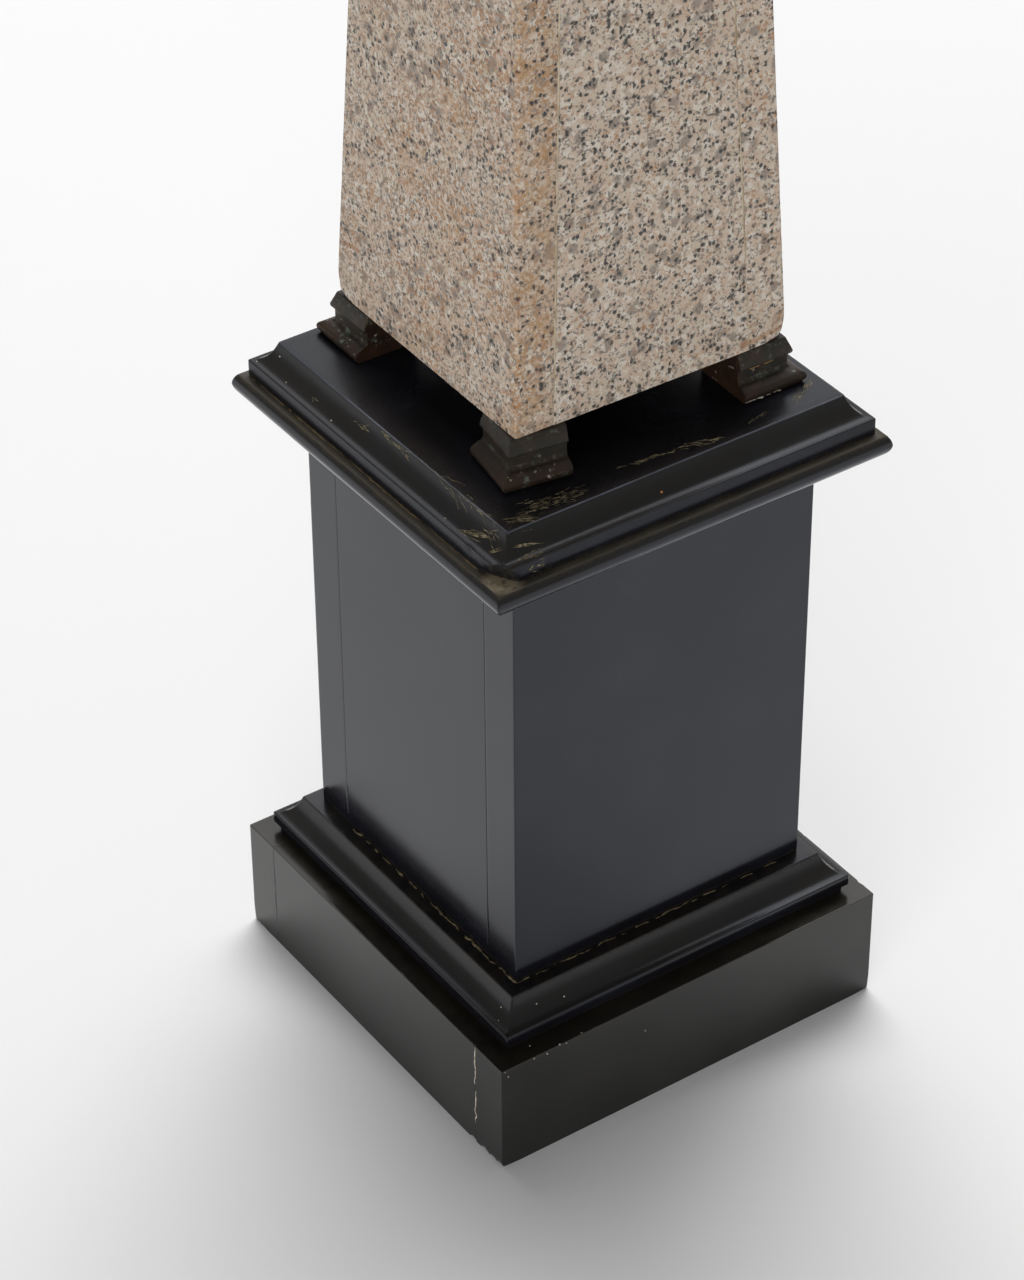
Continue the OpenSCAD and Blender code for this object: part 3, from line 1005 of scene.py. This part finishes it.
def shaft_slab(side):
    """One leaning slab of the shaft."""
    node = f"shaft_{side}_slab"
    facing = Vector(BOX_SIDES[side])
    full = side in ("left", "right")
    wide = 2 * SHAFT_HALF if full else 2 * (SHAFT_HALF - SLAB)
    top_wide = 2 * SHAFT_TOP_HALF if full else 2 * (SHAFT_TOP_HALF - SLAB)
    share = top_wide / wide
    inputs = {
        "Size": (SLAB, wide, SHAFT_TALL) if full else (wide, SLAB, SHAFT_TALL),
        "Columns": 15 if full else 57,
        "Rows": 57 if full else 15,
        "Layers": 171,
        "Arris": (0.9 if full else 0.45) * MM,
        "Wear": 0.6 * MM,
        "Corner wear": 5.0 * MM if full else 0.0,
        "Corner reach": 8 * MM,
        "Outer side": KNOCKED_CORNERS.get(side, facing),
        "Top share": (1, share, 1) if full else (share, 1, 1),
        "Lean": facing * -TOP_IN,
        "Offset": facing * (SHAFT_HALF - SLAB / 2) + Vector((0, 0, SHAFT_TALL / 2)),
        "Turn": (0, 0, SHAFT_TURN),
        "Place": SHAFT_AT,
        "Seed": 3.0 + len(side),
        "Material": SHAFT_LOOKS[side],
    }
    piece = grow(worn_block, f"worn_{node}", inputs)
    hand_over(piece, node)
    return piece


for side in BOX_SIDES:
    print("shaft", side, len(shaft_slab(side).data.polygons), "faces")

# %% [markdown]
# ## Capstone
# The pyramid on top is the same block once more, drawn in to a small tip.

# %% Capstone
CAP_TALL = 90 * MM
TIP = 0.02
capstone = grow(worn_block, "worn_capstone", {
    "Size": (2 * SHAFT_TOP_HALF, 2 * SHAFT_TOP_HALF, CAP_TALL),
    "Columns": 49,
    "Rows": 49,
    "Layers": 49,
    "Arris": 1.2 * MM,
    "Wear": 0.8 * MM,
    "Corner reach": 5 * MM,
    "Top share": (TIP, TIP, 1),
    "Offset": (0, 0, CAP_TALL / 2),
    "Turn": (0, 0, SHAFT_TURN),
    "Place": SHAFT_AT + Vector((0, 0, SHAFT_TALL)),
    "Seed": 8.0,
    "Material": granite_side,
})
hand_over(capstone, "capstone")
print("capstone", len(capstone.data.polygons), "faces")

# %% [markdown]
# ## Lines and crumbs
# Glue in the joints, filler in the seams, gold veins and scratches are all thin lines that follow the
# stone. One tree turns drawn lines into tubes that wander a little and swell and thin out. They lie half
# sunk in the surface, so only their crowns show. A second tree puts a small ball on every given point,
# for specks of lime.

# %% Trees for lines and crumbs
LINE_INPUTS = (
    ("Geometry", "NodeSocketGeometry"),
    ("Step", "NodeSocketFloat"),
    ("Thickness", "NodeSocketFloat"),
    ("Lumps", "NodeSocketFloat"),
    ("Wander", "NodeSocketFloat"),
    ("Seed", "NodeSocketFloat"),
    ("Material", "NodeSocketMaterial"),
)
CRUMB_INPUTS = (
    ("Geometry", "NodeSocketGeometry"),
    ("Smallest", "NodeSocketFloat"),
    ("Largest", "NodeSocketFloat"),
    ("Seed", "NodeSocketInt"),
    ("Material", "NodeSocketMaterial"),
)


def line_tree():
    """The tree that sweeps drawn lines into uneven tubes."""
    tree, given = new_tree("lines", LINE_INPUTS)
    start = Wire(tree)
    curve = start.node("GeometryNodeMeshToCurve", None, {"Mesh": given("Geometry")})
    even = {"Curve": curve, "Length": given("Step")}
    curve = start.node("GeometryNodeResampleCurve", {"mode": "LENGTH"}, even)
    place = start.node("GeometryNodeInputPosition")
    sockets = {"Vector": place, "W": given("Seed"), "Scale": 500.0, "Detail": 2.0}
    uneven = start.node("ShaderNodeTexNoise", {"noise_dimensions": "4D"}, sockets)
    shift = uneven.other("Color").vector("SUBTRACT", (0.5, 0.5, 0.5)).scaled(given("Wander") * 2.0)
    curve = start.node("GeometryNodeSetPosition", None, {"Geometry": curve, "Offset": shift})
    share = start.node("GeometryNodeSplineParameter")
    ends = share.ramp(0.0, 0.12) * share.ramp(1.0, 0.88) * 0.85 + 0.15
    size = given("Thickness") * (1.0 + (uneven - 0.5) * 3.0 * given("Lumps")) * ends
    ring = start.node("GeometryNodeCurvePrimitiveCircle", None, {"Resolution": 6, "Radius": 1.0})
    swept = {"Curve": curve, "Profile Curve": ring, "Scale": size, "Fill Caps": True}
    tube = start.node("GeometryNodeCurveToMesh", None, swept)
    end_tree(start.node("GeometryNodeSetShadeSmooth", None, {"Geometry": tube}), given("Material"))
    return tree


def crumb_tree():
    """The tree that puts a small ball on every point."""
    tree, given = new_tree("crumbs", CRUMB_INPUTS)
    start = Wire(tree)
    points = start.node("GeometryNodeMeshToPoints", None, {"Mesh": given("Geometry")})
    ball = start.node("GeometryNodeMeshIcoSphere", None, {"Radius": 1.0, "Subdivisions": 2})
    limits = {2: given("Smallest"), 3: given("Largest"), "Seed": given("Seed")}
    size = start.node("FunctionNodeRandomValue", {"data_type": "FLOAT"}, limits, 1)
    sowing = {"Points": points, "Instance": ball, "Scale": size}
    sown = start.node("GeometryNodeInstanceOnPoints", None, sowing)
    end_tree(sown, given("Material"))
    return tree


lines_tree, crumbs_tree = line_tree(), crumb_tree()
print("line tree:", len(lines_tree.nodes), "nodes; crumb tree:", len(crumbs_tree.nodes), "nodes")

# %% [markdown]
# ## Drawing and laying lines
# Old glue and filler are rarely whole. A line is cut into short lengths that sway a little, and only a
# share of them is kept. The lines are drawn as edges of a mesh, because the tree can read those, and the
# tree lays the tubes along them.

# %% Drawing and laying lines


def drawn(name, paths):
    """A mesh of open lines, each a list of points in metres."""
    points, edges = [], []
    for path in paths:
        first = len(points)
        points += [tuple(p) for p in path]
        edges += [(first + i, first + i + 1) for i in range(len(path) - 1)]
    mesh = bpy.data.meshes.new(name)
    mesh.from_pydata(points, edges, [])
    return mesh


def broken_line(start, end, rng, keep, piece=6.0, sway=(0, 0, 0)):
    """A line in mm as short lengths that sway to both sides; the given share of them is kept."""
    start, end = Vector(start) * MM, Vector(end) * MM
    count = max(1, round((end - start).length / (piece * MM)))
    bends = [start.lerp(end, i / count) + Vector(sway) * MM * rng.normal() for i in range(count + 1)]
    paths, path = [], []
    for here, there in zip(bends, bends[1:]):
        if rng.random() < keep:
            path = path or [here]
            path.append(there)
        elif path:
            paths.append(path)
            path = []
    return paths + ([path] if path else [])


def lay(name, paths, thickness, material, wander=0.2, lumps=0.8, step=1.0):
    """Lay lines of glue, filler or stone, given in metres; their sizes are in mm."""
    values = {
        "Step": step * MM,
        "Thickness": thickness * MM,
        "Lumps": lumps,
        "Wander": wander * MM,
        "Seed": float(len(name)),
        "Material": material,
    }
    piece = grow(lines_tree, name, values, drawn(name, paths))
    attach(piece, "root")
    print(name, len(paths), "lines,", len(piece.data.polygons), "faces")


print("line helpers ready")

# %% [markdown]
# ## Gold veins
# Gold and cream veins run through the cornice slab around its front corner: faint short strokes crowd on
# the flat top, fine ones run along the arrises, and longer, stronger strands cross the hollow. Each stroke
# is a random walk that is set back onto the nearest point of the slab after every step. It starts anywhere
# along a run. A run has two ends, a number of strokes, their spread and their longest length, in mm. Along
# the left arris the stone is also rubbed grey.

# %% Where the veins run
VEIN_STEP = 0.6 * MM
FINE_VEINS = (
    ((-29, -86, CORNICE_TOP), (37, -95, CORNICE_TOP), 22, 0.8, 9),
    ((12, -88, CORNICE_TOP), (22, -94, CORNICE_TOP), 8, 1.5, 6),
    ((-104, -82, CORNICE_TOP - 5), (-101, -98, CORNICE_TOP - 6), 4, 0.8, 18),
    ((-95, -111, CORNICE_TOP - 16), (-84, -111, CORNICE_TOP - 16), 14, 1.2, 4),
    ((-106, 61, CORNICE_TOP - 8), (-106, 54, CORNICE_TOP - 8), 3, 0.4, 3),
    ((-104, 28, CORNICE_TOP - 5), (-104, 13, CORNICE_TOP - 5), 8, 0.8, 5),
    ((-100, -22, CORNICE_TOP - 1), (-100, -97, CORNICE_TOP - 1), 12, 0.5, 20),
)
FAINT_VEINS = (
    ((-86, -89, CORNICE_TOP), (-51, -92, CORNICE_TOP), 90, 2.6, 5),
    ((-96, -91, CORNICE_TOP), (-80, -98, CORNICE_TOP), 22, 1.8, 12),
    ((73, -92, CORNICE_TOP), (97, -79, CORNICE_TOP), 26, 1.4, 9),
    ((46, -93, CORNICE_TOP), (60, -89, CORNICE_TOP), 10, 0.9, 4),
)
STRONG_VEINS = (
    ((-108, -70, CORNICE_TOP - 11), (-101, -98, CORNICE_TOP - 7), 7, 0.9, 30),
    ((-106, -96, CORNICE_TOP - 12), (-102, -101, CORNICE_TOP - 7), 4, 0.8, 9),
    ((-99, -104, CORNICE_TOP - 6), (-82, -105, CORNICE_TOP - 10), 5, 0.6, 16),
    ((-101, -107, CORNICE_TOP - 12), (-84, -107, CORNICE_TOP - 12), 6, 0.6, 18),
    ((-100.8, 6, CORNICE_TOP - 2), (-100.8, -22, CORNICE_TOP - 2), 20, 0.6, 6),
)
print("strokes:", [sum(run[2] for run in runs) for runs in (FINE_VEINS, FAINT_VEINS, STRONG_VEINS)])

# %% Veins on the cornice


def surface_of(piece):
    """A search tree that finds the nearest point of a piece."""
    return BVHTree.FromPolygons(points_of(piece).tolist(), [tuple(p.vertices) for p in piece.data.polygons])


def vein(surface, start, end, spread, longest, restless, rng):
    """One stroke: a walk on the surface that keeps roughly to the run's direction."""
    start, end = Vector(start) * MM, Vector(end) * MM
    run = end - start
    steps = int(rng.uniform(0.3, 1.0) * longest * MM / VEIN_STEP) + 3
    latest = max(0.0, 1.0 - steps * VEIN_STEP / run.length)
    here = start + run * rng.uniform(0, latest) + Vector(rng.normal(0, spread * MM, 3))
    heading = rng.normal(0, restless)
    path = []
    for _ in range(steps):
        spot, normal, _, _ = surface.find_nearest(here)
        path.append(spot + normal * 0.02 * MM)
        heading = 0.85 * heading + rng.normal(0, restless)
        forward = run.normalized()
        forward.rotate(Quaternion(normal, heading))
        here = spot + forward * VEIN_STEP
    return path


rng = np.random.default_rng(7)
cornice_surface = surface_of(cornice)
VEIN_KINDS = (
    ("fine_veins", FINE_VEINS, 0.11, 0.2),
    ("faint_veins", FAINT_VEINS, 0.06, 0.1),
    ("strong_veins", STRONG_VEINS, 0.14, 0.08),
)
for name, runs, thickness, restless in VEIN_KINDS:
    strokes = []
    for start, end, count, spread, longest in runs:
        strokes += [vein(cornice_surface, start, end, spread, longest, restless, rng) for _ in range(count)]
    lay(name, strokes, thickness, gold_vein, wander=0.08, lumps=1.8, step=0.4)
wear = broken_line((-99.6, -20, CORNICE_TOP), (-99.6, -96, CORNICE_TOP), rng, 0.9, 4)
wear = [[cornice_surface.find_nearest(point)[0] for point in path] for path in wear]
lay("arris_wear", wear, 0.3, dark_filler, wander=0.15, lumps=1.2)

# %% [markdown]
# ## Glue, filler and dirt
# The slabs are held by glue that has oozed from the joints and yellowed: a bead lies round the foot of
# the die and shows best near the front corner. The seams of the base were filled with white, most of
# which has broken out, and the joints of the shaft are filled flush with a pale paste. A little white has
# oozed from under the right foot, which keeps a trace of gilding. Brown dirt lies in the left joint of
# the cornice, and a few scratches finish the surface.

# %% Glue round the die
BASE_HALF, BASE_SEAM = 120, 96
DIE_HALF, DIE_SEAM = 90.5, 65.5
GLUE_LINE = DIE_HALF + 0.7
glued_corner = (-GLUE_LINE, -GLUE_LINE, DIE_FOOT)
left_bead = broken_line(glued_corner, (-GLUE_LINE, -45, DIE_FOOT), rng, 0.92, 3, (0.5, 0, 0))
left_bead += broken_line((-GLUE_LINE, -45, DIE_FOOT), (-GLUE_LINE, 60, DIE_FOOT), rng, 0.5, 4, (0.4, 0, 0))
right_bead = broken_line(glued_corner, (20, -GLUE_LINE, DIE_FOOT), rng, 0.9, 3, (0, 0.4, 0))
right_bead += broken_line((20, -GLUE_LINE, DIE_FOOT), (80, -GLUE_LINE, DIE_FOOT), rng, 0.6, 4, (0, 0.3, 0))
lay("left_die_glue", left_bead, 0.6, old_glue, wander=0.3, lumps=1.6)
lay("front_die_glue", right_bead, 0.34, old_glue, wander=0.2, lumps=1.4)

# %% Filler in the seams
seam_top, seam_end = (-BASE_HALF, -BASE_SEAM, BASE_TOP - 0.5), (-BASE_HALF, -BASE_SEAM, 13)
white_paths = broken_line(seam_top, seam_end, rng, 0.88, 3, (0, 0.45, 0))
white_paths += broken_line((-DIE_HALF, -DIE_SEAM, 334), (-DIE_HALF, -DIE_SEAM, 316), rng, 0.6, 2, (0, 0.3, 0))
lay("base_seam_filler", white_paths, 0.32, white_filler, wander=0.2, lumps=1.6)
dark_paths = broken_line((-BASE_HALF, BASE_SEAM, BASE_TOP - 0.5), (-BASE_HALF, BASE_SEAM, 1), rng, 0.95)
for y in (-BASE_SEAM, BASE_SEAM):
    dark_paths += broken_line((BASE_HALF, y, BASE_TOP - 0.5), (BASE_HALF, y, 1), rng, 0.95)
lay("seam_filler", dark_paths, 0.18, dark_filler, wander=0.05, lumps=0.5)

# %% Joints of the shaft and the cornice
SLAB_JOINT, SLAB_JOINT_TOP = 57, 25
JOINT_IN = 0.45


def on_shaft(x, y, z):
    """A point given in mm from the middle of the shaft's foot."""
    return Matrix.Rotation(SHAFT_TURN, 3, "Z") @ Vector((x, y, z)) + SHAFT_AT / MM


joint_paths = []
for side in (-1, 1):
    for face in (-1, 1):
        foot_end = on_shaft(side * SLAB_JOINT, face * (SHAFT_HALF / MM - JOINT_IN), 0)
        top_end = on_shaft(side * SLAB_JOINT_TOP, face * (SHAFT_TOP_HALF / MM - JOINT_IN), SHAFT_TALL / MM)
        joint_paths += broken_line(foot_end, top_end, rng, 0.96)
lay("shaft_joint_glue", joint_paths, 0.75, stone_glue, wander=0.25)

CORNICE_HALF = 111
joint_end = (-CORNICE_HALF, -92, CORNICE_JOINT)
dirt_paths = broken_line((-CORNICE_HALF, 110, CORNICE_JOINT), joint_end, rng, 0.93, 3, (0.2, 0, 0))
lay("cornice_joint_dirt", dirt_paths, 0.55, brown_dirt, wander=0.3)

# %% Right foot and scratches
FOOT_EDGE, FOOT_NECK = 85.6, 80.8
under_foot = CORNICE_TOP - SHAFT_FOOT
ooze_ends = (on_shaft(x, -FOOT_EDGE, under_foot) for x in (50, 72))
oozed = broken_line(*ooze_ends, rng, 0.93, 1.5, (0, 0.3, 0))
lay("foot_glue", oozed, 0.32, white_filler, wander=0.4, lumps=1.8, step=0.6)
gilt = broken_line(on_shaft(56, -FOOT_NECK, -9.2), on_shaft(71, -FOOT_NECK, -9.2), rng, 0.9, 2)
lay("foot_gilding", gilt, 0.35, gilding, wander=0.3, lumps=1.2, step=0.6)
SCRATCHES = (
    ((-25, -90.5, 304), (-22, -90.5, 308)),
    ((-29, -90.5, 254), (-27, -90.5, 263)),
    ((-56, -90.5, 223), (-52, -90.5, 227)),
    ((-120, 78, 50), (-120, 73, 55)),
)
scratch_paths = [[Vector(start) * MM, Vector(end) * MM] for start, end in SCRATCHES]
lay("scratches", scratch_paths, 0.05, dark_filler, wander=0.1)

# %% [markdown]
# ## Specks of lime
# Small pale specks have dried on the marble, most of them round the front corner. Each is given roughly
# and set onto the nearest stone.

# %% Specks
SPECKS = {
    "cornice_moulding": (
        (-108, 106, 367), (-108, 81, 372), (-104, 95, 377), (-108, 40, 372), (-108, -60, 370),
    ),
    "base_moulding": ((-86, -104, 84), (-104, -94, 84), (-107, -98, 80), (-70, -105, 82)),
    "base_front_slab": (
        (-97, -112, 67), (-84, -120, 67), (-80, -120, 66), (-70, -119, 67), (-92, -120, 65),
        (-100, -120, 66), (-118, -120, 66), (-116, -120, 62), (-30, -120, 48),
    ),
}


def speck_points():
    """The specks' places on the stone, in metres."""
    places = []
    for node, spots in SPECKS.items():
        surface = surface_of(bpy.data.objects[f"worn_{node}"])
        places += [surface.find_nearest(Vector(spot) * MM)[0] for spot in spots]
    return places


def sow(name, places, smallest, largest, material):
    """Crumbs at the given places; their radii are in mm."""
    values = {"Smallest": smallest * MM, "Largest": largest * MM, "Seed": len(name), "Material": material}
    piece = grow(crumbs_tree, name, values, drawn(name, [[place] for place in places]))
    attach(piece, "root")
    print(name, len(places), "crumbs")


sow("lime_specks", speck_points(), 0.25, 0.5, white_filler)
sow("rust_speck", [cornice_surface.find_nearest(Vector((-14, -107, 375)) * MM)[0]], 0.6, 0.7, rust_paint)

# %% [markdown]
# ## Floor
# The floor is a plain pale square, matt so that it mirrors nothing. It belongs to the stage and not to the
# object.

# %% Floor
FLOOR_HALF = 12
FLOOR_COLOUR = (0.8, 0.8, 0.8, 1)
corners = [(x * FLOOR_HALF, y * FLOOR_HALF, 0) for x, y in ((-1, -1), (1, -1), (1, 1), (-1, 1))]
floor_mesh = bpy.data.meshes.new("floor")
floor_mesh.from_pydata(corners, [], [(0, 1, 2, 3)])
floor = bpy.data.objects.new("floor", floor_mesh)
scene.collection.objects.link(floor)
floor_paint, floor_shader, _ = new_material("floor paint")
plug(floor_shader, "Base Color", FLOOR_COLOUR)
plug(floor_shader, "Roughness", 1.0)
plug(floor_shader, "Specular IOR Level", 0.0)
floor_mesh.materials.append(floor_paint)
print("floor", 2 * FLOOR_HALF, "m wide")

# %% [markdown]
# ## Light
# The room is dim. A large softbox stands behind the obelisk and lights the floor, so a broad soft shadow
# falls towards the camera; the polished marble mirrors that floor, which is why the base darkens towards
# its front corner. A smaller softbox above it draws the light line in the hollows and along the nose. A
# back lamp and a low one on the camera's side light floor and granite. Both are hidden from reflections,
# because they would put bright patches on every polished face.

# %% Light
ROOM_LIGHT = 0.18
SOFTBOX = {"size": (9.2, 5.3), "away": 7.0, "rise": 38, "turn": -48, "power": 200}
HIGH_SOFTBOX = {"size": (5.3, 2.3), "away": 6.0, "rise": 66, "turn": -38, "power": 88}
BACK_LAMP = {"size": (7.0, 5.0), "away": 12.0, "rise": 64, "turn": -34.6, "power": 820}
FRONT_LAMP = {"size": (6.0, 4.0), "away": 8.0, "rise": 9, "turn": 131, "power": 460}


def soft_lamp(name, size, away, rise, turn, power):
    """A rectangular lamp that faces the obelisk from a turn about it and a rise, in degrees."""
    lamp = bpy.data.objects.new(name, bpy.data.lights.new(name, "AREA"))
    lamp.data.shape = "RECTANGLE"
    lamp.data.size, lamp.data.size_y = size
    lamp.data.energy = power
    rise, turn = math.radians(rise), math.radians(turn)
    out = Vector((-math.sin(turn) * math.cos(rise), math.cos(turn) * math.cos(rise), math.sin(rise)))
    lamp.location = out * away + Vector((0, 0, 0.3))
    lamp.rotation_euler = out.to_track_quat("Z", "Y").to_euler()
    lamp.visible_camera = False
    scene.collection.objects.link(lamp)
    return lamp


soft_lamp("softbox", **SOFTBOX)
soft_lamp("high softbox", **HIGH_SOFTBOX)
for name, settings in (("back lamp", BACK_LAMP), ("front lamp", FRONT_LAMP)):
    soft_lamp(name, **settings).visible_glossy = False

room = bpy.data.worlds.new("room")
room.use_nodes = True
room.node_tree.nodes["Background"].inputs["Color"].default_value = (1, 1, 1, 1)
room.node_tree.nodes["Background"].inputs["Strength"].default_value = ROOM_LIGHT
scene.world = room
print("lights: room", ROOM_LIGHT, "and", len(bpy.data.lights), "lamps")
